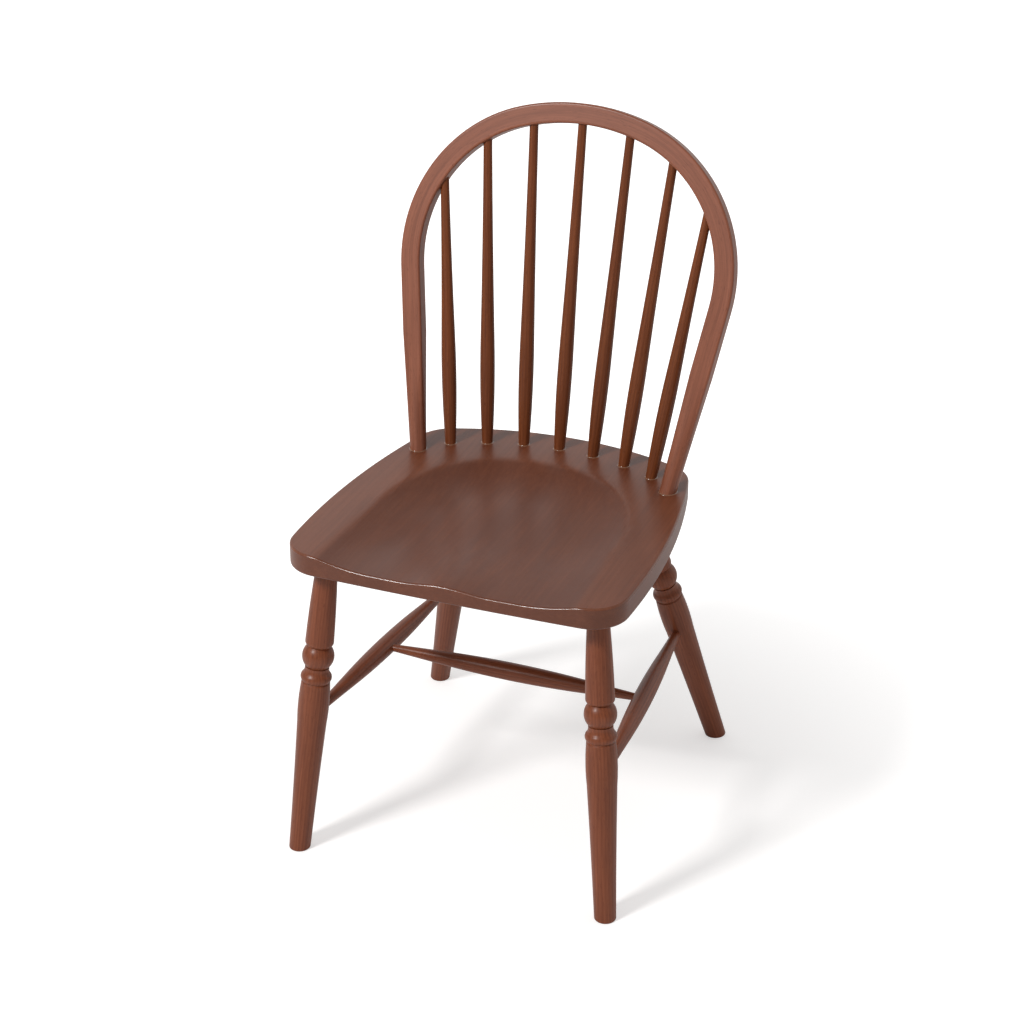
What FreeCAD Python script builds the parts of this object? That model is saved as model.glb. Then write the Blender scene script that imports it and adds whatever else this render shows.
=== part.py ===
import FreeCAD, Part
import math
import os
import Sketcher

# Windsor chair with a bent bow, seven turned spindles, a saddled seat, four splayed legs
# and three stretchers. Millimetres. The floor is z = 0, the front of the chair faces -Y
# and the left of the chair, as seen from the front, is -X.

# Driving sizes

SIZES = {
    # Seat
    "seat_height": 435.0,
    "seat_thickness": 28.0,
    "seat_front_half_width": 214.8,
    "seat_rear_half_width": 180.3,
    "seat_front_corner": 236.6,
    "seat_rear_corner": 151.2,
    "seat_front_radius": 6000.0,
    "seat_side_radius": 1050.0,
    "seat_back_radius": 416.0,
    "seat_front_corner_radius": 47.0,
    "seat_rear_corner_radius": 51.0,
    "seat_top_arris": 2.8,
    "seat_bottom_arris": 3.0,
    "glue_line_inner": 72.0,
    "glue_line_outer": 152.0,
    # Saddle of the seat
    "saddle_half_width": 160.0,
    "saddle_flare": 0.07,
    "saddle_middle": 91.0,
    "saddle_reach_back": 197.0,
    "saddle_squareness": 2.3,
    "saddle_bank": 0.45,
    "saddle_rim_blend": 0.06,
    "saddle_depth": 15.0,
    "saddle_front_depth": 10.4,
    "pommel_height": 4.5,
    "pommel_half_width": 60.0,
    "pommel_length": 180.0,
    # Legs
    "front_foot_out": 209.3,
    "front_foot_forward": 230.1,
    "front_leg_top_out": 176.34,
    "front_leg_top_forward": 183.37,
    "rear_foot_out": 208.1,
    "rear_foot_back": 228.1,
    "rear_leg_top_out": 115.75,
    "rear_leg_top_back": 120.07,
    "leg_tenon_radius": 12.8,
    "leg_tenon_length": 20.0,
    "leg_tenon_shoulder": 2.5,
    "front_leg_swell_length": 112.5,
    "rear_leg_swell_length": 118.0,
    "leg_swell_radius": 18.0,
    "leg_swell_curve": 2060.0,
    "leg_round_over_length": 5.7,
    "leg_round_over_curve": 5.5,
    "leg_ball_neck_radius": 14.0,
    "leg_ball_length": 29.4,
    "leg_ball_curve": 20.3,
    "leg_fillet_radius": 15.4,
    "leg_fillet_length": 3.4,
    "leg_cove_length": 6.2,
    "leg_cove_curve": 9.0,
    "leg_ring_edge_radius": 18.0,
    "leg_ring_length": 9.4,
    "leg_ring_curve": 7.2,
    "leg_groove_radius": 16.8,
    "leg_groove_length": 1.6,
    "leg_body_start_radius": 18.2,
    "leg_body_start_length": 1.4,
    "leg_body_rise_length": 57.0,
    "leg_body_rise_radius": 18.7,
    "leg_body_rise_curve": 330.0,
    "leg_body_taper_curve": 11000.0,
    "foot_radius": 13.5,
    "foot_arris": 1.5,
    # Stretchers
    "side_stretcher_front_height": 189.4,
    "side_stretcher_rear_height": 186.6,
    "stretcher_tenon_radius": 5.6,
    "side_tenon_gap": 1.2,
    "side_stretcher_straight": 17.4,
    "side_stretcher_belly_length": 200.0,
    "side_stretcher_belly_end_radius": 9.4,
    "side_stretcher_belly_curve": 1667.0,
    "side_stretcher_taper_curve": 4000.0,
    "cross_tenon_radius": 5.0,
    "cross_tenon_gap": 2.4,
    "cross_stretcher_straight": 12.0,
    "cross_stretcher_belly_length": 200.0,
    "cross_stretcher_belly_end_radius": 8.9,
    "cross_stretcher_belly_curve": 1613.0,
    # Bow
    "bow_foot_out": 172.5,
    "bow_foot_back": 86.5,
    "bow_recline_angle": 18.54,
    "bow_limb_lean_angle": 8.73,
    "bow_crown_height": 456.0,
    "bow_crown_radius": 268.4,
    "bow_shoulder_radius": 187.3,
    "bow_width": 26.1,
    "bow_depth": 21.0,
    "bow_arris": 3.0,
    "bow_taper_top": 152.0,
    "bow_foot_radius": 10.9,
    "bow_foot_straight": 6.0,
    "bow_tenon_length": 20.0,
    # Spindles
    "spindle_row_back": 154.0,
    "spindle_row_radius": 284.0,
    "spindle_row_step_angle": 9.8,
    "spindle_top_out_1": 64.6,
    "spindle_top_out_2": 124.5,
    "spindle_top_out_3": 177.0,
    "spindle_foot_radius": 7.2,
    "spindle_foot_tenon": 18.0,
    "spindle_foot_straight": 3.5,
    "spindle_belly_radius": 9.7,
    "spindle_belly_height": 95.0,
    "spindle_belly_fall": 45.0,
    "spindle_top_radius": 5.7,
    "spindle_taper_hollow": 0.5,
    "spindle_top_straight": 10.0,
    "spindle_top_tenon": 12.0,
    # Fits
    "socket_clearance": 0.1,
    "socket_end_gap": 1.0,
}

doc = FreeCAD.newDocument("windsor_chair")
sheet = doc.addObject("Spreadsheet::Sheet", "Sizes")
for row, (alias, number) in enumerate(SIZES.items(), start=1):
    sheet.set(f"A{row}", alias)
    sheet.set(f"B{row}", str(number))
    sheet.setAlias(f"B{row}", alias)
doc.recompute()

# Sizes that keep the sheet formula they come from


class Size:
    """A number together with the formula of sheet cells that gives it."""

    def __init__(self, value, text):
        self.value = float(value)
        self.text = text

    @staticmethod
    def of(other):
        if isinstance(other, Size):
            return other
        return Size(other, repr(float(other)))

    def _join(self, other, sign, value):
        return Size(value, f"({self.text} {sign} {other.text})")

    def __add__(self, other):
        other = Size.of(other)
        return self._join(other, "+", self.value + other.value)

    def __radd__(self, other):
        return Size.of(other) + self

    def __sub__(self, other):
        other = Size.of(other)
        return self._join(other, "-", self.value - other.value)

    def __rsub__(self, other):
        return Size.of(other) - self

    def __mul__(self, other):
        other = Size.of(other)
        return self._join(other, "*", self.value * other.value)

    def __rmul__(self, other):
        return Size.of(other) * self

    def __truediv__(self, other):
        other = Size.of(other)
        return self._join(other, "/", self.value / other.value)

    def __neg__(self):
        return Size(-self.value, f"(0 - {self.text})")


def cell(alias):
    """The value in the sheet under this name, with its formula."""
    return Size(sheet.get(alias), f"Sizes.{alias}")


def root(size):
    return Size(math.sqrt(size.value), f"sqrt({size.text})")


def sine(size):
    return Size(math.sin(math.radians(size.value)), f"sin({size.text})")


def cosine(size):
    return Size(math.cos(math.radians(size.value)), f"cos({size.text})")


def distance(a, b):
    """Length between two points given by three sizes each."""
    square = sum((p - q) * (p - q) for p, q in zip(a, b))
    return root(square)


def arc_radius(run, drop):
    """Radius of the arc that leaves a line squarely and drops this much over this run."""
    return (run * run + drop * drop) / (2 * drop)


def vector(point):
    return FreeCAD.Vector(*[Size.of(c).value for c in point])


def bind(item, property_name, size):
    item.setExpression(property_name, size.text)


# Sketching


def origin_plane(body, role):
    return next(f for f in body.Origin.OriginFeatures if f.Role == role)


def arc_middle(p, q, bend):
    """Middle of the arc from p to q; a positive bend bulges to the right of the travel."""
    chord = q - p
    half = chord.Length / 2
    sag = abs(bend) - math.sqrt(bend * bend - half * half)
    right = FreeCAD.Vector(chord.y, -chord.x, 0)
    right.normalize()
    return (p + q) / 2 + right * math.copysign(sag, bend)


def pin(sketch, edge, end, x, y, rules, names):
    """Hold one corner at its two sizes."""
    for kind, size, axis in (("DistanceX", x, -2), ("DistanceY", y, -1)):
        size = Size.of(size)
        if abs(size.value) < 1e-9:
            rules.append(Sketcher.Constraint("PointOnObject", edge, end, axis))
            names.append(None)
        elif size.value > 0:
            rules.append(Sketcher.Constraint(kind, -1, 1, edge, end, size.value))
            names.append(size)
        else:
            rules.append(Sketcher.Constraint(kind, edge, end, -1, 1, -size.value))
            names.append(-size)


def chain_sketch(body, name, role, corners, closed=True, offset=None):
    """Sketch of lines and arcs through corners (x, y, bend of the edge that follows)."""
    sketch = body.newObject("Sketcher::SketchObject", name)
    sketch.AttachmentSupport = [(origin_plane(body, role), "")]
    sketch.MapMode = "FlatFace"
    if offset is not None:
        sketch.AttachmentOffset = offset
    points = [FreeCAD.Vector(Size.of(x).value, Size.of(y).value, 0) for x, y, _ in corners]
    count = len(corners) if closed else len(corners) - 1
    rules = []
    names = []
    ends = []
    for i in range(count):
        p = points[i]
        q = points[(i + 1) % len(points)]
        bend = corners[i][2]
        if bend is None:
            edge = sketch.addGeometry(Part.LineSegment(p, q))
        else:
            edge = sketch.addGeometry(Part.Arc(p, arc_middle(p, q, bend.value), q))
        starts_at_p = sketch.getPoint(edge, 1).distanceToPoint(p) < 1e-6
        ends.append((edge, 1, 2) if starts_at_p else (edge, 2, 1))
        if bend is not None:
            rules.append(Sketcher.Constraint("Radius", edge, abs(bend.value)))
            names.append(bend if bend.value > 0 else -bend)
    for i in range(len(corners)):
        if i < count:
            edge, first, last = ends[i]
            end = first
        else:
            edge, first, last = ends[i - 1]
            end = last
        pin(sketch, edge, end, corners[i][0], corners[i][1], rules, names)
        if i < count and (i > 0 or closed):
            before, _, before_last = ends[i - 1]
            rules.append(Sketcher.Constraint("Coincident", before, before_last, edge, end))
            names.append(None)
    sketch.addConstraint(rules)
    for i, size in enumerate(names):
        if size is not None:
            sketch.renameConstraint(i, f"size_{i}")
            sketch.setExpression(f"Constraints.size_{i}", size.text)
    return sketch


# Turned pieces


def straight(length, radius):
    return (length, radius, None)


def bulge(length, radius, curve):
    return (length, radius, curve)


def hollow(length, radius, curve):
    return (length, radius, -curve)


def turned_body(name, start_radius, steps, placement):
    """Body turned about the placement's Z axis; each step is (length, end radius, curve)."""
    body = doc.addObject("PartDesign::Body", f"{name}_turned")
    station = Size.of(0)
    corners = [(0, 0, None)]
    radius = start_radius
    for length, end_radius, curve in steps:
        corners.append((radius, station, curve))
        if length is not None:
            station = length if station.value == 0 else station + length
        radius = end_radius
    corners.append((radius, station, None))
    corners.append((0, station, None))
    profile = chain_sketch(body, f"{name}_profile", "XZ_Plane", corners)
    turning = body.newObject("PartDesign::Revolution", f"{name}_turning")
    turning.Profile = profile
    turning.ReferenceAxis = (profile, ["V_Axis"])
    turning.Angle = 360
    body.Placement = placement
    return body


def along(start, end, side=1):
    """Placement at start whose Z axis points to end and whose X axis points to one side."""
    turn = FreeCAD.Rotation(FreeCAD.Vector(side, 0, 0), FreeCAD.Vector(), end - start, "ZXY")
    return FreeCAD.Placement(start, turn)


def towards(start, end, length):
    """Point on the line from start to end, this far from start."""
    step = end - start
    step.normalize()
    return start + step * length


# Cutting tools and booleans


def drill(name, radius, start, end):
    """Round cutter from start to end."""
    cutter = doc.addObject("Part::Cylinder", name)
    bind(cutter, "Radius", radius)
    cutter.Height = (end - start).Length
    cutter.Placement = along(start, end)
    return cutter


def cut(name, base, cutters):
    """The base less all the cutters."""
    group = doc.addObject("Part::Compound", f"{name}_cutters")
    group.Links = cutters
    result = doc.addObject("Part::Cut", f"{name}_cut")
    result.Base = base
    result.Tool = group
    return result


def soften(name, base, rounded):
    """Round the edges of the base given as (number, radius)."""
    result = doc.addObject("Part::Fillet", f"{name}_softened")
    result.Base = base
    result.Edges = [(number, radius, radius) for number, radius in rounded]
    return result


nodes = {}


def finish(name, item):
    item.Label = name
    nodes[name] = item


# Where the pieces meet

LEFT = -1
RIGHT = 1

seat_top = cell("seat_height")
seat_bottom = seat_top - cell("seat_thickness")
clearance = cell("socket_clearance")
end_gap = cell("socket_end_gap")
mouth = 12.0


def leg_points(front, side):
    """Foot of the leg on the floor, and its top where it enters the seat's underside."""
    if front:
        foot = (side * cell("front_foot_out"), -cell("front_foot_forward"), 0)
        top = (side * cell("front_leg_top_out"), -cell("front_leg_top_forward"), seat_bottom)
    else:
        foot = (side * cell("rear_foot_out"), cell("rear_foot_back"), 0)
        top = (side * cell("rear_leg_top_out"), cell("rear_leg_top_back"), seat_bottom)
    return foot, top


def leg_at_stretcher(front, side):
    """Point of the leg's axis where the side stretcher meets it."""
    foot, top = leg_points(front, side)
    height = cell("side_stretcher_front_height" if front else "side_stretcher_rear_height")
    share = height / seat_bottom
    return tuple(f + (t - f) * share for f, t in zip(foot, top))


def side_stretcher_middle(side):
    front = leg_at_stretcher(True, side)
    rear = leg_at_stretcher(False, side)
    return tuple((a + b) / 2 for a, b in zip(front, rear))


# Legs


def leg_steps(front, length):
    """Turning from the tip of the tenon down to just below the floor."""
    swell = cell("front_leg_swell_length" if front else "rear_leg_swell_length")
    upper = [
        straight(cell("leg_tenon_length") + cell("leg_tenon_shoulder"), cell("leg_tenon_radius")),
        bulge(swell, cell("leg_swell_radius"), cell("leg_swell_curve")),
        bulge(cell("leg_round_over_length"), cell("leg_ball_neck_radius"), cell("leg_round_over_curve")),
        bulge(cell("leg_ball_length"), cell("leg_ball_neck_radius"), cell("leg_ball_curve")),
        straight(None, cell("leg_fillet_radius")),
        straight(cell("leg_fillet_length"), cell("leg_fillet_radius")),
        hollow(cell("leg_cove_length"), cell("leg_ring_edge_radius"), cell("leg_cove_curve")),
        bulge(cell("leg_ring_length"), cell("leg_ring_edge_radius"), cell("leg_ring_curve")),
        straight(None, cell("leg_groove_radius")),
        straight(cell("leg_groove_length"), cell("leg_groove_radius")),
        straight(cell("leg_body_start_length"), cell("leg_body_start_radius")),
        bulge(cell("leg_body_rise_length"), cell("leg_body_rise_radius"), cell("leg_body_rise_curve")),
    ]
    used = sum(step[0] for step in upper if step[0] is not None)
    taper = length + cell("leg_tenon_length") - used
    past_floor = cell("foot_radius")
    return upper + [hollow(taper + past_floor, cell("foot_radius"), cell("leg_body_taper_curve"))]


def make_leg(name, front, side, floor):
    foot, top = leg_points(front, side)
    length = distance(foot, top)
    foot_point = vector(foot)
    top_point = vector(top)
    tip = towards(top_point, foot_point, -cell("leg_tenon_length").value)
    placement = along(tip, foot_point, -side)
    turned = turned_body(name, cell("leg_tenon_radius"), leg_steps(front, length), placement)
    near = vector(leg_at_stretcher(front, side))
    far = vector(leg_at_stretcher(not front, side))
    depth = cell("side_tenon_gap").value - end_gap.value
    socket = drill(
        f"{name}_stretcher_socket",
        cell("stretcher_tenon_radius") + clearance,
        towards(near, far, depth),
        towards(near, far, 3 * cell("foot_radius").value),
    )
    trimmed = cut(name, turned, [floor, socket])
    doc.recompute()
    rim = [
        (number, cell("foot_arris").value)
        for number, edge in enumerate(trimmed.Shape.Edges, start=1)
        if edge.BoundBox.ZMax < 1e-3
    ]
    finish(name, soften(name, trimmed, rim))


def make_legs():
    reach = 3 * cell("rear_foot_out").value
    floor = doc.addObject("Part::Box", "below_floor")
    floor.Length = 2 * reach
    floor.Width = 2 * reach
    floor.Height = reach
    floor.Placement = FreeCAD.Placement(FreeCAD.Vector(-reach, -reach, -reach), FreeCAD.Rotation())
    make_leg("front_left_leg", True, LEFT, floor)
    make_leg("front_right_leg", True, RIGHT, floor)
    make_leg("rear_left_leg", False, LEFT, floor)
    make_leg("rear_right_leg", False, RIGHT, floor)


# Stretchers


def make_side_stretcher(name, side):
    front = leg_at_stretcher(True, side)
    rear = leg_at_stretcher(False, side)
    ends = cell("side_tenon_gap") + cell("side_stretcher_straight")
    belly = cell("side_stretcher_belly_length")
    taper = (distance(front, rear) - belly) / 2 - ends
    tenon = cell("stretcher_tenon_radius")
    shoulder = cell("side_stretcher_belly_end_radius")
    steps = [
        straight(cell("side_stretcher_straight"), tenon),
        hollow(taper, shoulder, cell("side_stretcher_taper_curve")),
        bulge(belly, shoulder, cell("side_stretcher_belly_curve")),
        hollow(taper, tenon, cell("side_stretcher_taper_curve")),
        straight(cell("side_stretcher_straight"), tenon),
    ]
    start = towards(vector(front), vector(rear), cell("side_tenon_gap").value)
    turned = turned_body(name, tenon, steps, along(start, vector(rear), -side))
    middle = vector(side_stretcher_middle(side))
    other = vector(side_stretcher_middle(-side))
    depth = cell("cross_tenon_gap").value - end_gap.value
    socket = drill(
        f"{name}_cross_socket",
        cell("cross_tenon_radius") + clearance,
        towards(middle, other, depth),
        towards(middle, other, 3 * cell("side_stretcher_belly_end_radius").value),
    )
    finish(name, cut(name, turned, [socket]))


def make_cross_stretcher():
    left = side_stretcher_middle(LEFT)
    right = side_stretcher_middle(RIGHT)
    ends = cell("cross_tenon_gap") + cell("cross_stretcher_straight")
    belly = cell("cross_stretcher_belly_length")
    taper = (distance(left, right) - belly) / 2 - ends
    tenon = cell("cross_tenon_radius")
    shoulder = cell("cross_stretcher_belly_end_radius")
    steps = [
        straight(cell("cross_stretcher_straight"), tenon),
        straight(taper, shoulder),
        bulge(belly, shoulder, cell("cross_stretcher_belly_curve")),
        straight(taper, tenon),
        straight(cell("cross_stretcher_straight"), tenon),
    ]
    start = towards(vector(left), vector(right), cell("cross_tenon_gap").value)
    placement = along(start, vector(right))
    finish("cross_stretcher", turned_body("cross_stretcher", tenon, steps, placement))


# Bow: its centre line lies in a plane that reclines about the line through its two feet


def bow_line():
    """Corners of the right half of the centre line, crown first, and the limb's direction."""
    out = cell("bow_foot_out")
    crown = cell("bow_crown_height")
    large = cell("bow_crown_radius")
    small = cell("bow_shoulder_radius")
    lean_sine = sine(cell("bow_limb_lean_angle"))
    lean_cosine = cosine(cell("bow_limb_lean_angle"))
    tilt_sine = (out * lean_cosine + (crown - large) * lean_sine - small) / (large - small)
    tilt = math.degrees(math.asin(tilt_sine.value))
    turn = cell("bow_limb_lean_angle") + Size(tilt, f"(asin({tilt_sine.text}) / 1 deg)")
    join = (large * sine(turn), crown - large + large * cosine(turn))
    centre = ((large - small) * sine(turn), crown - large + (large - small) * cosine(turn))
    limb_top = (centre[0] + small * lean_cosine, centre[1] - small * lean_sine)
    taper = cell("bow_taper_top")
    taper_top = (out + taper * lean_sine, taper * lean_cosine)
    return crown, join, centre, limb_top, taper_top, turn


def bow_placement():
    foot = FreeCAD.Vector(0, cell("bow_foot_back").value, seat_top.value)
    recline = FreeCAD.Rotation(FreeCAD.Vector(1, 0, 0), -cell("bow_recline_angle").value)
    return FreeCAD.Placement(foot, recline)


def rounded_rectangle(half_x, half_y, corner, centre_y=0):
    """Corners of a rectangle with round corners, counterclockwise."""
    right = half_x - corner
    high = half_y - corner
    return [
        (-right, centre_y - half_y, None),
        (right, centre_y - half_y, corner),
        (half_x, centre_y - high, None),
        (half_x, centre_y + high, corner),
        (right, centre_y + half_y, None),
        (-right, centre_y + half_y, corner),
        (-half_x, centre_y + high, None),
        (-half_x, centre_y - high, corner),
    ]


def circle_like(corners, radius):
    """Circle whose corners lie in the directions of the given corners."""
    result = []
    for x, y, _ in corners:
        reach = root(x * x + y * y)
        result.append((radius * x / reach, radius * y / reach, radius))
    return result


def limb_section(body, name, corners, height):
    """Section square to the limb, this far up from its foot."""
    lean = cell("bow_limb_lean_angle").value
    foot = FreeCAD.Vector(cell("bow_foot_out").value, 0, 0)
    turn = FreeCAD.Rotation(FreeCAD.Vector(0, 1, 0), lean)
    centre = foot + turn.multVec(FreeCAD.Vector(0, 0, height.value))
    offset = FreeCAD.Placement(centre, turn)
    return chain_sketch(body, name, "XY_Plane", corners, offset=offset)


def make_bow(sockets):
    body = doc.addObject("PartDesign::Body", "bow_bent")
    crown, join, _, limb_top, taper_top, _ = bow_line()
    path_corners = [
        (0, crown, -cell("bow_crown_radius")),
        (*join, -cell("bow_shoulder_radius")),
        (*limb_top, None),
        (*taper_top, None),
    ]
    path = chain_sketch(body, "bow_path", "XZ_Plane", path_corners, closed=False)
    half_width = cell("bow_width") / 2
    half_depth = cell("bow_depth") / 2
    arris = cell("bow_arris")
    crown_section = rounded_rectangle(half_depth, half_width, arris, crown)
    section = chain_sketch(body, "bow_crown_section", "YZ_Plane", crown_section)
    doc.recompute()
    sweep = body.newObject("PartDesign::AdditivePipe", "bow_sweep")
    sweep.Profile = section
    sweep.Spine = path
    doc.recompute()

    square = rounded_rectangle(half_width, half_depth, arris)
    upper = limb_section(body, "bow_taper_section", square, cell("bow_taper_top"))
    round_foot = circle_like(square, cell("bow_foot_radius"))
    lower = limb_section(body, "bow_foot_section", round_foot, cell("bow_foot_straight"))
    doc.recompute()
    taper = body.newObject("PartDesign::AdditiveLoft", "bow_taper")
    taper.Profile = upper
    taper.Sections = [lower]
    taper.Ruled = True
    doc.recompute()
    tenon = body.newObject("PartDesign::Pad", "bow_tenon")
    tenon.Profile = lower
    tenon.Reversed = True
    bind(tenon, "Length", cell("bow_foot_straight") + cell("bow_tenon_length"))
    doc.recompute()
    mirror = body.newObject("PartDesign::Mirrored", "bow_left_half")
    mirror.Originals = [sweep, taper, tenon]
    mirror.MirrorPlane = (origin_plane(body, "YZ_Plane"), [""])
    body.Tip = mirror
    body.Placement = bow_placement()
    finish("bow", cut("bow", body, sockets))


# Spindles: their feet stand on an arc across the back of the seat


def spindle_foot(index):
    angle = index * cell("spindle_row_step_angle")
    radius = cell("spindle_row_radius")
    across = radius * sine(angle)
    back = cell("spindle_row_back") - radius * (1 - cosine(angle))
    return across, back, seat_top


def bow_inner_height(across):
    """Height in the bow's plane at which a spindle meets the bow's inner face."""
    crown, _, centre, _, _, turn = bow_line()
    half = cell("bow_width") / 2
    large = cell("bow_crown_radius") - half
    small = cell("bow_shoulder_radius") - half
    if across.value <= (large * sine(turn)).value:
        return crown - cell("bow_crown_radius") + root(large * large - across * across)
    offset = across - centre[0]
    return centre[1] + root(small * small - offset * offset)


def spindle_head(index):
    """Point on the middle of the bow's inner face that the spindle's axis passes."""
    if index == 0:
        across = Size.of(0)
    else:
        across = cell(f"spindle_top_out_{abs(index)}")
    up = bow_inner_height(across)
    side = LEFT if index < 0 else RIGHT
    back = cell("bow_foot_back") + up * sine(cell("bow_recline_angle"))
    height = seat_top + up * cosine(cell("bow_recline_angle"))
    return side * across, back, height


def make_spindle(name, index):
    foot = spindle_foot(index)
    head = spindle_head(index)
    belly = cell("spindle_belly_radius")
    base = cell("spindle_foot_radius")
    top = cell("spindle_top_radius")
    rise = cell("spindle_belly_height") - cell("spindle_foot_straight")
    fall = cell("spindle_belly_fall")
    upper = distance(foot, head) - cell("spindle_belly_height") - cell("spindle_top_straight")
    rest = upper - fall
    hollowness = cell("spindle_taper_hollow")
    steepness = (1 + hollowness) * fall
    joint = belly - (belly - top) * steepness / (2 * rest + steepness)
    steps = [
        straight(cell("spindle_foot_tenon") + cell("spindle_foot_straight"), base),
        bulge(rise, belly, arc_radius(rise, belly - base)),
        bulge(fall, joint, arc_radius(fall, belly - joint)),
        hollow(rest, top, arc_radius(rest, joint - top) / hollowness),
        straight(cell("spindle_top_straight") + cell("spindle_top_tenon"), top),
    ]
    tip = towards(vector(foot), vector(head), -cell("spindle_foot_tenon").value)
    finish(name, turned_body(name, base, steps, along(tip, vector(head))))


def spindle_sockets(name, index):
    """Cutters for the spindle's holes in the seat and in the bow."""
    foot = vector(spindle_foot(index))
    head = vector(spindle_head(index))
    foot_depth = cell("spindle_foot_tenon") + end_gap
    head_depth = cell("spindle_top_tenon") + end_gap
    lower = drill(
        f"{name}_seat_socket",
        cell("spindle_foot_radius") + clearance,
        towards(foot, head, -foot_depth.value),
        towards(foot, head, mouth),
    )
    upper = drill(
        f"{name}_bow_socket",
        cell("spindle_top_radius") + clearance,
        towards(head, foot, -head_depth.value),
        towards(head, foot, mouth),
    )
    return lower, upper


# Seat


def saddle_height(x, y, size):
    """Height of the seat's top: flat outside the rim, hollowed inside, with a front pommel."""
    half_width = size["saddle_half_width"]
    back = y + size["saddle_middle"]
    if back < 0:
        share = abs(x) / (half_width - size["saddle_flare"] * back)
    else:
        power = size["saddle_squareness"]
        across = (abs(x) / half_width) ** power
        along_back = (back / size["saddle_reach_back"]) ** power
        share = (across + along_back) ** (1 / power)
    rise = (1 - share) / size["saddle_bank"]
    blend = size["saddle_rim_blend"]
    eased = min(0.5 * (rise + math.sqrt(rise * rise + blend * blend)), 1.0)
    front_share = min(max(-back / (size["seat_front_corner"] - size["saddle_middle"]), 0.0), 1.0)
    eased_front = front_share * front_share * (3 - 2 * front_share)
    shallower = size["saddle_depth"] - size["saddle_front_depth"]
    depth = (size["saddle_depth"] - shallower * eased_front) * (1 - (1 - eased) ** 2)
    pommel = 0.0
    from_front = (y + size["seat_front_corner"]) / size["pommel_length"]
    if abs(x) < size["pommel_half_width"] and from_front < 1:
        ridge = math.cos(math.pi / 2 * x / size["pommel_half_width"]) ** 2
        fade = math.cos(math.pi / 2 * max(from_front, 0.0)) ** 2
        pommel = size["pommel_height"] * ridge * fade
    return size["seat_height"] - depth + pommel


def saddle_cutter():
    """Everything above the shaped top of the seat."""
    size = {alias: cell(alias).value for alias in SIZES}
    grid = 9.0
    margin = 25.0
    reach_x = size["seat_front_half_width"] + margin
    reach_front = size["seat_front_corner"] + margin
    reach_back = size["seat_rear_corner"] + 3 * margin
    columns = 2 * math.ceil(reach_x / grid) + 1
    rows = math.ceil((reach_front + reach_back) / grid) + 1
    points = []
    for i in range(columns):
        x = -reach_x + 2 * reach_x * i / (columns - 1)
        line = []
        for j in range(rows):
            y = -reach_front + (reach_front + reach_back) * j / (rows - 1)
            line.append(FreeCAD.Vector(x, y, saddle_height(x, y, size)))
        points.append(line)
    surface = Part.BSplineSurface()
    surface.interpolate(points)
    cutter = doc.addObject("Part::Feature", "saddle_cutter")
    cutter.Shape = surface.toShape().extrude(FreeCAD.Vector(0, 0, 2 * size["seat_thickness"]))
    return cutter


def upright_edges(shape, half_width, y):
    """Names of the upright edges at one pair of the seat's corners."""
    found = []
    for number, edge in enumerate(shape.Edges, start=1):
        ends = [vertex.Point for vertex in edge.Vertexes]
        at_corner = [abs(abs(p.x) - half_width) < 0.01 and abs(p.y - y) < 0.01 for p in ends]
        upright = abs(ends[0].x - ends[-1].x) < 0.01
        if len(ends) == 2 and all(at_corner) and upright:
            found.append(f"Edge{number}")
    return found


def seat_blank():
    """Shield-shaped blank, thicker than the seat by what the saddling takes off."""
    body = doc.addObject("PartDesign::Body", "seat_blank")
    front = cell("seat_front_half_width")
    rear = cell("seat_rear_half_width")
    front_y = -cell("seat_front_corner")
    rear_y = cell("seat_rear_corner")
    corners = [
        (-front, front_y, cell("seat_front_radius")),
        (front, front_y, cell("seat_side_radius")),
        (rear, rear_y, cell("seat_back_radius")),
        (-rear, rear_y, cell("seat_side_radius")),
    ]
    outline = chain_sketch(body, "seat_outline", "XY_Plane", corners)
    pad = body.newObject("PartDesign::Pad", "seat_pad")
    pad.Profile = outline
    bind(pad, "Length", cell("seat_thickness") * 1.3)
    doc.recompute()
    for name, half_width, y, radius in (
        ("front_corners", front, front_y, "seat_front_corner_radius"),
        ("rear_corners", rear, rear_y, "seat_rear_corner_radius"),
    ):
        base = body.Tip
        corner = body.newObject("PartDesign::Fillet", name)
        corner.Base = (base, upright_edges(base.Shape, half_width.value, y.value))
        bind(corner, "Radius", cell(radius))
        doc.recompute()
    body.Placement = FreeCAD.Placement(FreeCAD.Vector(0, 0, seat_bottom.value), FreeCAD.Rotation())
    return body


def seat_arrises(shape):
    """Numbers of the edges round the underside and round the shaped top."""
    rounded = []
    for number, edge in enumerate(shape.Edges, start=1):
        box = edge.BoundBox
        if box.ZMax < seat_bottom.value + 1e-3:
            rounded.append((number, cell("seat_bottom_arris").value))
        elif box.ZMin > seat_bottom.value + 1e-3:
            rounded.append((number, cell("seat_top_arris").value))
    return rounded


def leg_socket(name, front, side):
    foot, top = leg_points(front, side)
    depth = cell("leg_tenon_length") + end_gap
    return drill(
        f"{name}_seat_socket",
        cell("leg_tenon_radius") + clearance,
        towards(vector(top), vector(foot), -depth.value),
        towards(vector(top), vector(foot), mouth),
    )


def bow_socket(name, side):
    placement = bow_placement()
    lean = math.radians(cell("bow_limb_lean_angle").value)
    limb = FreeCAD.Vector(side * math.sin(lean), 0, math.cos(lean))
    foot = FreeCAD.Vector(side * cell("bow_foot_out").value, 0, 0)
    depth = cell("bow_tenon_length") + end_gap
    return drill(
        name,
        cell("bow_foot_radius") + clearance,
        placement.multVec(foot - limb * depth.value),
        placement.multVec(foot + limb * mouth),
    )


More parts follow.
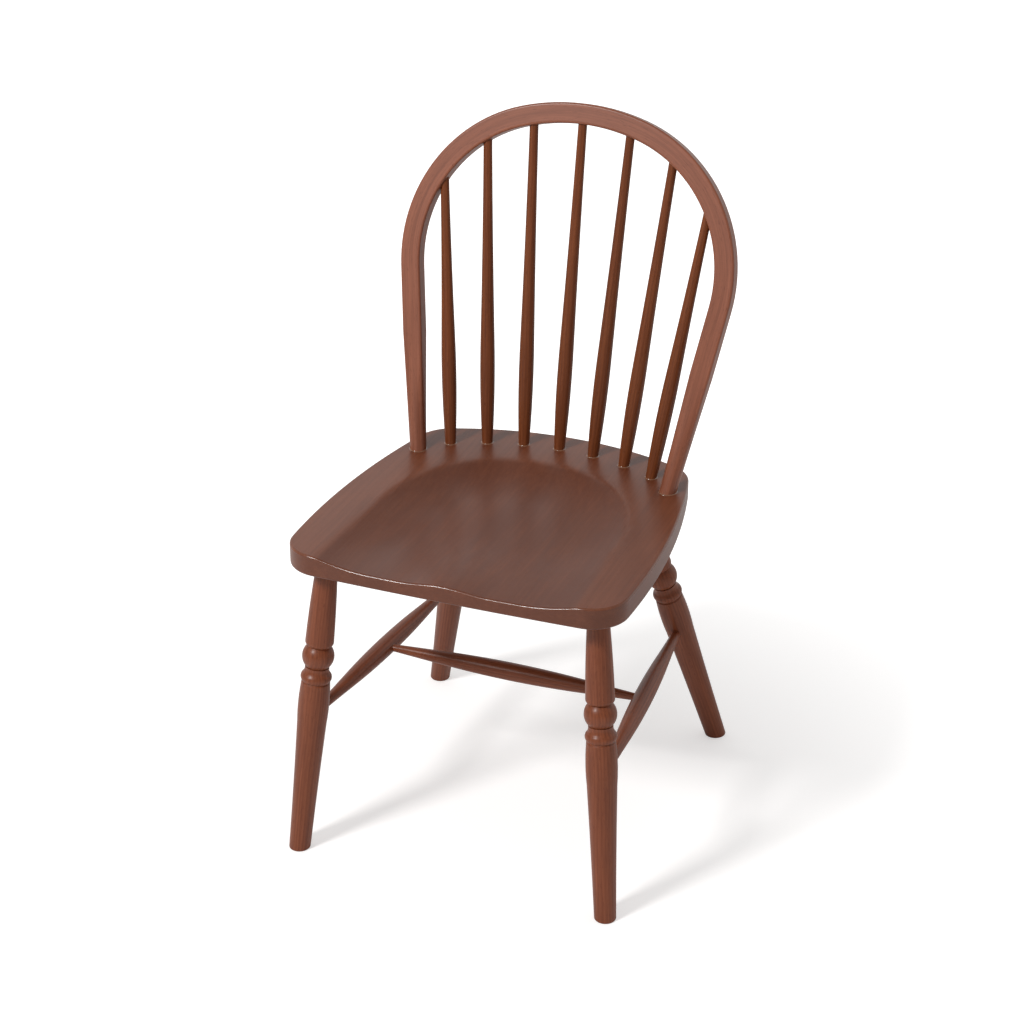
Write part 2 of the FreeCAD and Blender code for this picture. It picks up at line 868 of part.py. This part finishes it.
def make_seat(spindle_cutters):
    blank = seat_blank()
    saddled = cut("seat_saddle", blank, [saddle_cutter()])
    doc.recompute()
    softened = soften("seat", saddled, seat_arrises(saddled.Shape))
    sockets = [
        leg_socket("front_left_leg", True, LEFT),
        leg_socket("front_right_leg", True, RIGHT),
        leg_socket("rear_left_leg", False, LEFT),
        leg_socket("rear_right_leg", False, RIGHT),
        bow_socket("bow_left_socket", LEFT),
        bow_socket("bow_right_socket", RIGHT),
    ]
    seat = cut("seat", softened, sockets + spindle_cutters)
    doc.recompute()
    make_boards(seat)


def make_boards(seat):
    """Saw the seat along its glue lines into the boards that it is glued up from."""
    inner = cell("glue_line_inner").value
    outer = cell("glue_line_outer").value
    edge = 2 * cell("seat_front_half_width").value
    lines = [-edge, -outer, -inner, inner, outer, edge]
    names = [
        "seat_board_left_outer",
        "seat_board_left_inner",
        "seat_board_middle",
        "seat_board_right_inner",
        "seat_board_right_outer",
    ]
    for name, start, end in zip(names, lines, lines[1:]):
        span = doc.addObject("Part::Box", f"{name}_span")
        span.Length = end - start
        span.Width = 2 * edge
        span.Height = edge
        span.Placement = FreeCAD.Placement(FreeCAD.Vector(start, -edge, edge / 2), FreeCAD.Rotation())
        board = doc.addObject("Part::Common", f"{name}_board")
        board.Base = seat
        board.Tool = span
        finish(name, board)


# Assembly

make_legs()
make_side_stretcher("left_side_stretcher", LEFT)
make_side_stretcher("right_side_stretcher", RIGHT)
make_cross_stretcher()

seat_cutters = []
bow_cutters = []
for number in range(1, 8):
    spindle = f"spindle_{number}"
    make_spindle(spindle, number - 4)
    seat_cutter, bow_cutter = spindle_sockets(spindle, number - 4)
    seat_cutters.append(seat_cutter)
    bow_cutters.append(bow_cutter)
make_bow(bow_cutters)
make_seat(seat_cutters)
doc.recompute()

for item in doc.Objects:
    if "Invalid" in item.State or "Error" in item.State:
        raise RuntimeError(f"{item.Label} failed: {item.State}")
for name, item in nodes.items():
    shape = item.Shape
    if shape.isNull() or not shape.isValid() or len(shape.Solids) != 1:
        raise RuntimeError(f"{name} is not one valid solid")

os.makedirs("parts", exist_ok=True)
for name, item in nodes.items():
    item.Shape.exportStep(f"parts/{name}.step")
    print(f"{name}: {item.Shape.Volume / 1000:.1f} cm3")
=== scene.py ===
import math

import bpy
import numpy as np
from mathutils import Matrix, Vector


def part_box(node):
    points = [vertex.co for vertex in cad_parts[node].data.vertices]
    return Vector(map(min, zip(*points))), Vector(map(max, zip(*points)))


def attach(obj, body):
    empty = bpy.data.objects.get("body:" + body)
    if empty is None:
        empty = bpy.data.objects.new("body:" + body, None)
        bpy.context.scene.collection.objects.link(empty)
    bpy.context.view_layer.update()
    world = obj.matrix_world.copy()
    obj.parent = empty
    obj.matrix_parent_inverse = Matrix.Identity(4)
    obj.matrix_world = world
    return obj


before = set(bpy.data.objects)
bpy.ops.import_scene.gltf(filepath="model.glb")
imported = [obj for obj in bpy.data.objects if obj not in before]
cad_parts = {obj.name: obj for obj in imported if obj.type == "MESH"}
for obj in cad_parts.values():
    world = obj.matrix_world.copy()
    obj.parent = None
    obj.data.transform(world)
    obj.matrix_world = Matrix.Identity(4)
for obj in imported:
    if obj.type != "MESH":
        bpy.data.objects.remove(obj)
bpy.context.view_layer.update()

# Directions. The last tells which way along its axis a turned piece points
UP = (0.0, 0.0, 1.0)
FRONT_TO_BACK = (0.0, 1.0, 0.0)
AXIS_SENSE = (0.25, 0.5, 1.0)

# Camera: places in metres, lens and sensor in millimetres
CAMERA_PLACE = (1.0141, -2.5713, 1.8302)
CAMERA_TARGET = (-0.00535, -0.0010, 0.4141)
CAMERA_LENS = 86.33
CAMERA_SENSOR = 36.0

# Lamp: metres and watts
KEY_PLACE = (-1.52, -2.66, 3.07)
KEY_TARGET = (0.0, 0.0, 0.35)
KEY_WIDTH = 0.82
KEY_POWER = 120.0

# Light of the room, and how steeply a direction points back or up where the light changes
ROOM_FRONT = 0.36
ROOM_BACK = 1.00
ROOM_CEILING = 0.42
WALL_SPAN = (-0.3, 0.5)
CEILING_SPAN = (0.55, 0.85)
WHITE = (1.0, 1.0, 1.0)

# Floor, and the glow that the camera sees in it, near the chair and far from it. The dimmer glow near the
# chair is painted shade.
FLOOR_HALF = 20.0
FLOOR_WHITE = 0.93
FLOOR_SEEN = (0.66, 0.645, 0.635)
GLOW_NEAR = 0.45
GLOW_FAR = 0.92
GLOW_NEAR_TO = 0.12
GLOW_FAR_FROM = 1.20

# Where the bow stands, and the circles that it bends round in its own plane
SEAT_TOP = 0.435
BOW_FOOT_BACK = 0.0865
BOW_RECLINE = math.radians(18.54)
BOW_LEAN = math.radians(8.73)
CROWN_CENTRE = 0.1876
CROWN_RADIUS = 0.2684
SHOULDER_SIDE = 0.0238
SHOULDER_CENTRE = 0.2651
SHOULDER_RADIUS = 0.1873

# Lacquer bead at the foot of a spindle or of the bow
BEAD_WIDTH = 0.0009
BEAD_HEIGHT = 0.0008
BEAD_SUNK = 0.0002
BEAD_CURVE_STEPS = 6
BEAD_ROUND_STEPS = 64

# Sizes of the wood's figure, metres: across the grain and along it
CLOUD = (0.050, 0.160)
PATCH = (0.016, 0.070)
STREAK = (0.0045, 0.180)
FIBRE = (0.0017, 0.070)
PORE = (0.0008, 0.010)
RING_WANDER = (0.020, 0.250)

# How the figure is drawn. Noises and tones run from 0 to 1
MIDDLE_TONE = 0.5
PORE_SPAN = (0.64, 0.74)
LATE_WOOD_POWER = 2.2
SEED_STEP = (0.37, 0.53, 0.71)
TINT_CHANGE = 0.035
TINT_TURN = 2.4

# Relief of the wood: its depth in metres, and how much each part of the figure gives to it
BUMP_DEPTH = 0.00012
FIBRE_RELIEF = 0.6
STREAK_RELIEF = 0.3
PORE_RELIEF = 0.7

# Rubbed edges: the bevel's width in metres, and the spans over which they start and end
WORN_WIDTH = 0.0012
BEVEL_SAMPLES = 4
ARRIS_SPAN = (0.01, 0.12)
RIM_START_SPAN = (0.08, 0.30)
RIM_END_SPAN = (0.72, 0.90)
WORN_PATCH_SPAN = (0.30, 0.70)
ARRIS_LEAST_WORN = 0.4
RIM_LEAST_WORN = 0.6
RUBBED_ROUGHNESS = 0.20

# Darker parts of the seat, painted shade in its hollow and corners, and its end grain: sizes in metres, and
# the spans over which they start
HOLLOW_EDGE = 0.0025
HOLLOW_LEVEL_SPAN = (0.55, 0.85)
CORNER_SHADE_REACH = 0.10
CORNER_SHADE_SAMPLES = 8
END_GRAIN_SPAN = (0.55, 0.95)

# Gloss of wood and lacquer
WOOD_IOR = 1.5
COAT_IOR = 1.5
PATCH_ROUGHNESS = 0.10
FIBRE_ROUGHNESS = 0.12

# How much each part of the figure changes the stain, and how the lacquer lies on it
PLAIN_WOOD = {
    "cloud": 0.26,
    "patch": 0.20,
    "streak": 0.60,
    "fibre": 0.90,
    "pore": 0.50,
    "ring": 0.20,
    "ring_spacing": 0.0042,
    "ring_wander": 0.010,
    "worn": 0.14,
    "dark": (0.60, 0.52, 0.45),
    "pale": (1.40, 1.52, 1.65),
    "roughness": 0.50,
    "specular": 0.16,
    "coat": 0.45,
    "coat_roughness": 0.32,
    "bump": 0.30,
}
# The seat's darker hollow and corners are painted shade.
SEAT = dict(
    PLAIN_WOOD, colour=(0.150, 0.0435, 0.0180), coat=0.54, coat_roughness=0.31, specular=0.10,
    hollow=0.32, corner_shade=0.60, end_grain=0.34, cloud=0.42, patch=0.40,
    streak=0.44, fibre=0.60, pore=0.40, ring=0.05,
)
BOW = dict(PLAIN_WOOD, colour=(0.220, 0.067, 0.032), heart=(0.040, 0.090), ring=0.08, specular=0.20)
SPINDLE = dict(PLAIN_WOOD, colour=(0.155, 0.0405, 0.0112), heart=(0.030, 0.012), coat=0.30, specular=0.10)
LEG = dict(PLAIN_WOOD, colour=(0.176, 0.046, 0.0170), heart=(0.045, 0.020), coat=0.36, specular=0.12)

# Gathered lacquer
LACQUER = {
    "cloud_size": (0.003, 0.003),
    "dark": (0.12, 0.045, 0.020),
    "pale": (0.24, 0.11, 0.055),
    "roughness": 0.24,
    "roughness_change": 0.10,
    "coat": 0.6,
    "coat_roughness": 0.12,
    "bump": 0.4,
    "bump_depth": 0.0002,
}

# Nodes of each wood. A board has its tint and the place of its heart from its middle
SPINDLES = [f"spindle_{count}" for count in range(1, 8)]
LEGS = ["front_left_leg", "front_right_leg", "rear_left_leg", "rear_right_leg"]
STRETCHERS = ["left_side_stretcher", "right_side_stretcher", "cross_stretcher"]
BOARDS = {
    "seat_board_left_outer": (1.02, (0.020, 0.070)),
    "seat_board_left_inner": (0.97, (-0.030, 0.055)),
    "seat_board_middle": (1.01, (0.012, 0.080)),
    "seat_board_right_inner": (0.98, (0.034, 0.060)),
    "seat_board_right_outer": (0.94, (-0.018, 0.045)),
}

# Seeds, one for each piece: the first of each kind
BOARD_SEED = 1
BOW_SEED = 9
SPINDLE_SEED = 11
LEG_SEED = 21
STRETCHER_SEED = 31


# A shader's numbers, worked out by Math nodes


class Number:
    def __init__(self, tree, socket):
        self.tree = tree
        self.socket = socket

    def math(self, operation, *others):
        node = self.tree.nodes.new("ShaderNodeMath")
        node.operation = operation
        for socket, value in zip(node.inputs, (self,) + others):
            plug(self.tree, socket, value)
        return Number(self.tree, node.outputs[0])

    def __add__(self, other):
        return self.math("ADD", other)

    def __sub__(self, other):
        return self.math("SUBTRACT", other)

    def __mul__(self, other):
        return self.math("MULTIPLY", other)

    def above(self, other):
        return self.math("GREATER_THAN", other)

    def flipped(self):
        """0 where this number is 1, and 1 where it is 0."""
        return self * -1.0 + 1.0

    def choose(self, when_one, when_zero):
        """when_one where this number is 1, and when_zero where it is 0."""
        return when_one * self + when_zero * self.flipped()


def plug(tree, socket, value):
    """Gives a socket a plain value, or links it to another node."""
    if isinstance(value, Number):
        tree.links.new(value.socket, socket)
    elif isinstance(value, bpy.types.NodeSocket):
        tree.links.new(value, socket)
    else:
        socket.default_value = value


def add(tree, kind, inputs=None, **settings):
    """One new node, with its inputs by name or number, and its settings."""
    node = tree.nodes.new(kind)
    for name, value in settings.items():
        setattr(node, name, value)
    for name, value in (inputs or {}).items():
        plug(tree, node.inputs[name], value)
    return node


def split(tree, vector):
    node = add(tree, "ShaderNodeSeparateXYZ", {"Vector": vector})
    return [Number(tree, output) for output in node.outputs]


def vector_math(tree, operation, a, b):
    return add(tree, "ShaderNodeVectorMath", {0: a, 1: b}, operation=operation)


def dot(tree, a, b):
    return Number(tree, vector_math(tree, "DOT_PRODUCT", a, b).outputs["Value"])


def noise(tree, place, size, detail=2.0, roughness=0.5):
    """Noise from 0 to 1 whose features are size[0] across and size[1] along the grain."""
    across, along = size
    scaled = vector_math(tree, "MULTIPLY", place, (1.0 / across, 1.0 / across, 1.0 / along)).outputs[0]
    inputs = {"Vector": scaled, "Scale": 1.0, "Detail": detail, "Roughness": roughness}
    return Number(tree, add(tree, "ShaderNodeTexNoise", inputs).outputs["Fac"])


def remap(tree, value, span, ends=(0.0, 1.0)):
    """Goes smoothly from one end to the other while the value crosses the span."""
    low, high = span
    to_low, to_high = ends
    inputs = {"Value": value, "From Min": low, "From Max": high, "To Min": to_low, "To Max": to_high}
    return Number(tree, add(tree, "ShaderNodeMapRange", inputs, interpolation_type="SMOOTHSTEP").outputs[0])


def place_of_point(tree):
    return tree.nodes.new("ShaderNodeTexCoord").outputs["Object"]


def normal_of_surface(tree):
    return tree.nodes.new("ShaderNodeNewGeometry").outputs["Normal"]


def opaque(colour):
    return tuple(colour) + (1.0,)


def new_tree(owner):
    owner.use_nodes = True
    owner.node_tree.nodes.clear()
    return owner.node_tree


def show(tree, shader, kind="ShaderNodeOutputMaterial"):
    add(tree, kind, {"Surface": shader})


# Where a point lies in the wood: across, across and along the grain


def straight_grain(turn, middle):
    """Grain along a straight line, measured from the piece's middle. turn takes that line to Z."""
    start = -(turn.to_matrix() @ middle)

    def grain(tree):
        inputs = {"Vector": place_of_point(tree), "Rotation": tuple(turn), "Location": tuple(start)}
        return add(tree, "ShaderNodeMapping", inputs).outputs[0]

    return grain


def bent_grain(tree):
    """Grain that follows the bow round its crown, round its shoulders and down its limbs."""
    x, y, z = split(tree, place_of_point(tree))
    back = y - BOW_FOOT_BACK
    up = z - SEAT_TOP
    rise = back * math.sin(BOW_RECLINE) + up * math.cos(BOW_RECLINE)
    depth = back * math.cos(BOW_RECLINE) - up * math.sin(BOW_RECLINE)
    side = x.math("ABSOLUTE")

    from_crown = rise - CROWN_CENTRE
    crown_out = (side * side + from_crown * from_crown).math("SQRT") - CROWN_RADIUS
    crown_along = side.math("ARCTAN2", from_crown) * CROWN_RADIUS

    out = side - SHOULDER_SIDE
    above = rise - SHOULDER_CENTRE
    turned = out.math("ARCTAN2", above)
    crown_end = math.atan2(SHOULDER_SIDE, SHOULDER_CENTRE - CROWN_CENTRE)
    crown_length = crown_end * CROWN_RADIUS
    shoulder_out = (out * out + above * above).math("SQRT") - SHOULDER_RADIUS
    shoulder_along = (turned - crown_end) * SHOULDER_RADIUS + crown_length

    shoulder_end = math.pi / 2.0 + BOW_LEAN
    shoulder_length = crown_length + (shoulder_end - crown_end) * SHOULDER_RADIUS
    limb_out = out * math.sin(shoulder_end) + above * math.cos(shoulder_end) - SHOULDER_RADIUS
    limb_along = out * math.cos(shoulder_end) - above * math.sin(shoulder_end) + shoulder_length

    on_limb = turned.above(shoulder_end)
    past_crown = turned.above(crown_end)
    across = past_crown.choose(on_limb.choose(limb_out, shoulder_out), crown_out)
    along = past_crown.choose(on_limb.choose(limb_along, shoulder_along), crown_along)
    along = along * x.math("SIGN")
    return add(tree, "ShaderNodeCombineXYZ", {"X": across, "Y": depth, "Z": along}).outputs[0]


# Stained wood under satin lacquer


def growth(tree, look, place, seeded):
    """Growth rings about a heart that lies beside the piece, 1 in the late wood."""
    a, b, _ = split(tree, place)
    a = a - look["heart"][0]
    b = b - look["heart"][1]
    wander = noise(tree, seeded, RING_WANDER, detail=1.0) * look["ring_wander"]
    radius = (a * a + b * b).math("SQRT") + wander
    wave = (radius * (2.0 * math.pi / look["ring_spacing"])).math("SINE") * 0.5 + 0.5
    return wave.math("POWER", LATE_WOOD_POWER)


def worn_arris(tree, patch):
    """Up to 1 on rounded arrises, which are drawn paler and glossier, as if rubbed."""
    rounded = add(tree, "ShaderNodeBevel", {"Radius": WORN_WIDTH}, samples=BEVEL_SAMPLES)
    turned = dot(tree, rounded.outputs[0], normal_of_surface(tree)).flipped()
    return remap(tree, turned, ARRIS_SPAN) * remap(tree, patch, WORN_PATCH_SPAN, (ARRIS_LEAST_WORN, 1.0))


def worn_rim(tree, patch):
    """Up to 1 where the seat's surface turns over from level to upright, as at its rounded rim."""
    facing_up = dot(tree, normal_of_surface(tree), UP)
    turning = remap(tree, facing_up, RIM_START_SPAN) * remap(tree, facing_up, RIM_END_SPAN, (1.0, 0.0))
    return turning * remap(tree, patch, WORN_PATCH_SPAN, (RIM_LEAST_WORN, 1.0))


def painted_corner_shade(tree):
    """Painted shade: 0 in the open, and more in corners such as those round the feet of the spindles and
    the bow.
    """
    corner = add(tree, "ShaderNodeAmbientOcclusion", {"Distance": CORNER_SHADE_REACH}, samples=CORNER_SHADE_SAMPLES)
    return Number(tree, corner.outputs["AO"]).flipped()


def across_grain(tree, grain_line):
    """1 where the surface cuts across the grain."""
    facing = dot(tree, normal_of_surface(tree), grain_line).math("ABSOLUTE")
    return remap(tree, facing, END_GRAIN_SPAN)


def painted_hollow_shade(tree):
    """1 in the saddled hollow, which is darker in the photograph. Its darkening is painted shade."""
    _, _, z = split(tree, place_of_point(tree))
    under_top = remap(tree, z, (SEAT_TOP - HOLLOW_EDGE, SEAT_TOP), (1.0, 0.0))
    facing_up = remap(tree, dot(tree, normal_of_surface(tree), UP), HOLLOW_LEVEL_SPAN)
    return under_top * facing_up


def stain(tree, look, tone):
    """The stain's colour for a tone from 0, dark, to 1, pale."""
    ramp = add(tree, "ShaderNodeValToRGB", {"Fac": tone})
    ramp.color_ramp.interpolation = "B_SPLINE"
    stops = ramp.color_ramp.elements
    stops.new(MIDDLE_TONE)
    for stop, factors in zip(stops, (look["dark"], WHITE, look["pale"])):
        stop.color = opaque(part * factor for part, factor in zip(look["colour"], factors))
    return ramp.outputs["Color"]


def wood(name, look, grain, seed, seat=False):
    """One piece's wood. grain adds the nodes that place a point in it, and seed sets its figure apart."""
    material = bpy.data.materials.new(name)
    tree = new_tree(material)
    place = grain(tree)
    seeded = vector_math(tree, "ADD", place, tuple(step * seed for step in SEED_STEP)).outputs[0]

    cloud = noise(tree, seeded, CLOUD)
    patch = noise(tree, seeded, PATCH, detail=3.0)
    streak = noise(tree, seeded, STREAK)
    fibre = noise(tree, seeded, FIBRE, detail=4.0, roughness=0.6)
    pore = remap(tree, noise(tree, seeded, PORE, detail=1.0), PORE_SPAN)

    tone = (cloud - MIDDLE_TONE) * look["cloud"] + (patch - MIDDLE_TONE) * look["patch"]
    tone = tone + (streak - MIDDLE_TONE) * look["streak"] + (fibre - MIDDLE_TONE) * look["fibre"]
    tone = tone - growth(tree, look, place, seeded) * look["ring"] - pore * look["pore"]
    rubbed = worn_rim(tree, patch) if seat else worn_arris(tree, patch)
    tone = tone + rubbed * look["worn"] + MIDDLE_TONE
    if seat:
        tone = tone - across_grain(tree, FRONT_TO_BACK) * look["end_grain"]
        # Painted shade: darker in the saddled hollow and in corners round the feet of the spindles and the
        # bow.
        tone = tone - painted_hollow_shade(tree) * look["hollow"] - painted_corner_shade(tree) * look["corner_shade"]

    relief = fibre * FIBRE_RELIEF + streak * STREAK_RELIEF - pore * PORE_RELIEF
    bump = add(tree, "ShaderNodeBump", {"Height": relief, "Strength": look["bump"], "Distance": BUMP_DEPTH})
    uneven = (patch - MIDDLE_TONE) * PATCH_ROUGHNESS + (fibre - MIDDLE_TONE) * FIBRE_ROUGHNESS
    surface = add(tree, "ShaderNodeBsdfPrincipled", {
        "Base Color": stain(tree, look, tone),
        "Roughness": uneven + look["roughness"],
        "IOR": WOOD_IOR,
        "Specular IOR Level": look["specular"],
        "Coat Weight": rubbed * (1.0 - look["coat"]) + look["coat"],
        "Coat Roughness": rubbed * (RUBBED_ROUGHNESS - look["coat_roughness"]) + look["coat_roughness"],
        "Coat IOR": COAT_IOR,
        "Normal": bump.outputs["Normal"],
    })
    show(tree, surface.outputs["BSDF"])
    return material


# The wood of each CAD node


def vertices_of(node):
    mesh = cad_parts[node].data
    flat = np.empty(len(mesh.vertices) * 3, dtype=np.float32)
    mesh.vertices.foreach_get("co", flat)
    return flat.reshape(-1, 3).astype(float)


def middle_of(node):
    low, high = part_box(node)
    return (low + high) / 2.0


def axis_turn(node):
    """The turn that takes a turned piece's own axis, pointing up, back or to the right, to Z."""
    points = vertices_of(node)
    spread = points - points.mean(axis=0)
    axis = Vector(np.linalg.eigh(spread.T @ spread)[1][:, 2])
    if axis.dot(Vector(AXIS_SENSE)) < 0:
        axis = -axis
    return axis.rotation_difference(Vector(UP)).to_euler("XYZ")


def tinted(look, factor, **changes):
    return dict(look, colour=tuple(part * factor for part in look["colour"]), **changes)


def dress(node, material):
    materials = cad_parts[node].data.materials
    materials.clear()
    materials.append(material)


def dress_turned(nodes, look, first_seed):
    """Legs, stretchers and spindles, each turned from its own stick."""
    for seed, node in enumerate(nodes, start=first_seed):
        grain = straight_grain(axis_turn(node), middle_of(node))
        factor = 1.0 + TINT_CHANGE * math.sin(TINT_TURN * seed)
        dress(node, wood(f"wood_{node}", tinted(look, factor), grain, seed))


def dress_boards():
    """The seat's boards, their grain from front to back."""
    turn = Matrix.Rotation(math.pi / 2.0, 3, "X").to_euler("XYZ")
    for seed, (node, (factor, heart)) in enumerate(BOARDS.items(), start=BOARD_SEED):
        grain = straight_grain(turn, middle_of(node))
        look = tinted(SEAT, factor, heart=heart)
        dress(node, wood(f"wood_{node}", look, grain, seed, seat=True))


# Lacquer that gathered round the feet of the spindles and of the bow


def gathered_lacquer():
    material = bpy.data.materials.new("gathered_lacquer")
    tree = new_tree(material)
    cloud = noise(tree, place_of_point(tree), LACQUER["cloud_size"])
    ramp = add(tree, "ShaderNodeValToRGB", {"Fac": cloud})
    for stop, shade in zip(ramp.color_ramp.elements, ("dark", "pale")):
        stop.color = opaque(LACQUER[shade])
    relief = {"Height": cloud, "Strength": LACQUER["bump"], "Distance": LACQUER["bump_depth"]}
    bump = add(tree, "ShaderNodeBump", relief)
    surface = add(tree, "ShaderNodeBsdfPrincipled", {
        "Base Color": ramp.outputs["Color"],
        "Roughness": (cloud - MIDDLE_TONE) * LACQUER["roughness_change"] + LACQUER["roughness"],
        "Coat Weight": LACQUER["coat"],
        "Coat Roughness": LACQUER["coat_roughness"],
        "Normal": bump.outputs["Normal"],
    })
    show(tree, surface.outputs["BSDF"])
    return material


def crossing_points(node, level):
    """Where the edges of a node's mesh cross a level, seen from above."""
    points = vertices_of(node)
    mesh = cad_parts[node].data
    pairs = np.empty(len(mesh.edges) * 2, dtype=np.int32)
    mesh.edges.foreach_get("vertices", pairs)
    starts = points[pairs[0::2]]
    ends = points[pairs[1::2]]
    crossing = (starts[:, 2] - level) * (ends[:, 2] - level) < 0.0
    starts = starts[crossing]
    ends = ends[crossing]
    share = ((level - starts[:, 2]) / (ends[:, 2] - starts[:, 2]))[:, None]
    return (starts + share * (ends - starts))[:, :2]


def joint_line(node, side=0):
    """Middle, angles and radii of the line where a node stands on the seat. side takes one half of it."""
    line = crossing_points(node, SEAT_TOP + BEAD_SUNK)
    if side:
        line = line[line[:, 0] * side > 0.0]
    middle = (line.min(axis=0) + line.max(axis=0)) / 2.0
    across, back = (line - middle).T
    found = np.arctan2(back, across)
    order = np.argsort(found)
    angles = np.linspace(-math.pi, math.pi, BEAD_ROUND_STEPS, endpoint=False)
    radii = np.interp(angles, found[order], np.hypot(across, back)[order], period=2.0 * math.pi)
    return middle, angles, radii


def bead_profile():
    """The bead's section: how far out from the joint and how high above the seat."""
    turns = [math.pi / 2.0 * step / BEAD_CURVE_STEPS for step in range(BEAD_CURVE_STEPS + 1)]
    curve = [(BEAD_WIDTH * (1.0 - math.sin(turn)), BEAD_HEIGHT * (1.0 - math.cos(turn))) for turn in turns]
    return curve + [(-BEAD_SUNK, BEAD_HEIGHT), (-BEAD_SUNK, -BEAD_SUNK), (BEAD_WIDTH, -BEAD_SUNK)]


def bead_points(middle, angles, radii, profile):
    points = []
    for angle, radius in zip(angles, radii):
        for out, height in profile:
            reach = radius + out
            points.append((
                middle[0] + reach * math.cos(angle),
                middle[1] + reach * math.sin(angle),
                SEAT_TOP + height,
            ))
    return points


def ring_faces(rows, columns):
    """Faces of a ring: one row of points for each step round it, and columns round its section."""
    faces = []
    for row in range(rows):
        here = row * columns
        ahead = (row + 1) % rows * columns
        for column in range(columns):
            beside = (column + 1) % columns
            faces.append((here + column, ahead + column, ahead + beside, here + beside))
    return faces


def add_bead(name, node, material, side=0):
    middle, angles, radii = joint_line(node, side)
    profile = bead_profile()
    mesh = bpy.data.meshes.new(name)
    mesh.from_pydata(bead_points(middle, angles, radii, profile), [], ring_faces(len(angles), len(profile)))
    mesh.shade_smooth()
    mesh.materials.append(material)
    bead = bpy.data.objects.new(name, mesh)
    bpy.context.scene.collection.objects.link(bead)
    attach(bead, "root")


def add_beads():
    material = gathered_lacquer()
    for node in SPINDLES:
        add_bead(f"lacquer_bead_{node}", node, material)
    for name, side in (("left", -1), ("right", 1)):
        add_bead(f"lacquer_bead_bow_{name}", "bow", material, side)


# Floor, light and camera


def floor_material():
    """Pale floor, which the camera sees nearly white with the chair's shadow on it, and with painted shade
    where its glow dims towards the chair.
    """
    material = bpy.data.materials.new("pale_floor")
    tree = new_tree(material)
    x, y, _ = split(tree, place_of_point(tree))
    away = (x * x + y * y).math("SQRT")
    # Painted shade: the glow is dimmer near the chair.
    strength = remap(tree, away, (GLOW_NEAR_TO, GLOW_FAR_FROM), (GLOW_NEAR, GLOW_FAR))
    glow = add(tree, "ShaderNodeEmission", {"Strength": strength})
    grey = add(tree, "ShaderNodeBsdfDiffuse", {"Color": opaque(FLOOR_SEEN)})
    white = add(tree, "ShaderNodeBsdfDiffuse", {"Color": opaque((FLOOR_WHITE,) * 3)})
    seen = add(tree, "ShaderNodeAddShader", {0: glow.outputs[0], 1: grey.outputs[0]})
    path = tree.nodes.new("ShaderNodeLightPath")
    choice = {0: path.outputs["Is Camera Ray"], 1: white.outputs[0], 2: seen.outputs[0]}
    show(tree, add(tree, "ShaderNodeMixShader", choice).outputs[0])
    return material


def add_floor():
    half = FLOOR_HALF
    corners = [(-half, -half, 0.0), (half, -half, 0.0), (half, half, 0.0), (-half, half, 0.0)]
    mesh = bpy.data.meshes.new("floor")
    mesh.from_pydata(corners, [], [(0, 1, 2, 3)])
    mesh.materials.append(floor_material())
    floor = bpy.data.objects.new("floor", mesh)
    bpy.context.scene.collection.objects.link(floor)


def add_room():
    """Soft light, brightest from behind the chair. The camera itself sees the room white."""
    world = bpy.data.worlds.new("room")
    bpy.context.scene.world = world
    tree = new_tree(world)
    path = tree.nodes.new("ShaderNodeLightPath")
    coordinate = tree.nodes.new("ShaderNodeTexCoord")
    _, y, z = split(tree, coordinate.outputs["Generated"])
    wall = remap(tree, y, WALL_SPAN, (ROOM_FRONT, ROOM_BACK))
    ceiling = remap(tree, z, CEILING_SPAN)
    light = wall + ceiling * (wall * -1.0 + ROOM_CEILING)
    seen = Number(tree, path.outputs["Is Camera Ray"])
    strength = light + seen * light.flipped()
    background = add(tree, "ShaderNodeBackground", {"Color": opaque(WHITE), "Strength": strength})
    show(tree, background.outputs[0], "ShaderNodeOutputWorld")


def aim(thing, place, target):
    thing.location = place
    thing.rotation_euler = (Vector(target) - Vector(place)).to_track_quat("-Z", "Y").to_euler()


def add_key_light():
    light = bpy.data.lights.new("key_light", "AREA")
    light.shape = "DISK"
    light.size = KEY_WIDTH
    light.energy = KEY_POWER
    lamp = bpy.data.objects.new("key_light", light)
    bpy.context.scene.collection.objects.link(lamp)
    aim(lamp, KEY_PLACE, KEY_TARGET)


def add_camera():
    lens = bpy.data.cameras.new("camera")
    lens.lens = CAMERA_LENS
    lens.sensor_width = CAMERA_SENSOR
    lens.sensor_fit = "HORIZONTAL"
    camera = bpy.data.objects.new("camera", lens)
    bpy.context.scene.collection.objects.link(camera)
    aim(camera, CAMERA_PLACE, CAMERA_TARGET)
    bpy.context.scene.camera = camera


add_camera()
dress_boards()
dress("bow", wood("wood_bow", BOW, bent_grain, BOW_SEED))
dress_turned(SPINDLES, SPINDLE, SPINDLE_SEED)
dress_turned(LEGS, LEG, LEG_SEED)
dress_turned(STRETCHERS, LEG, STRETCHER_SEED)
add_beads()
add_floor()
add_room()
add_key_light()
bpy.context.scene.view_settings.view_transform = "Standard"
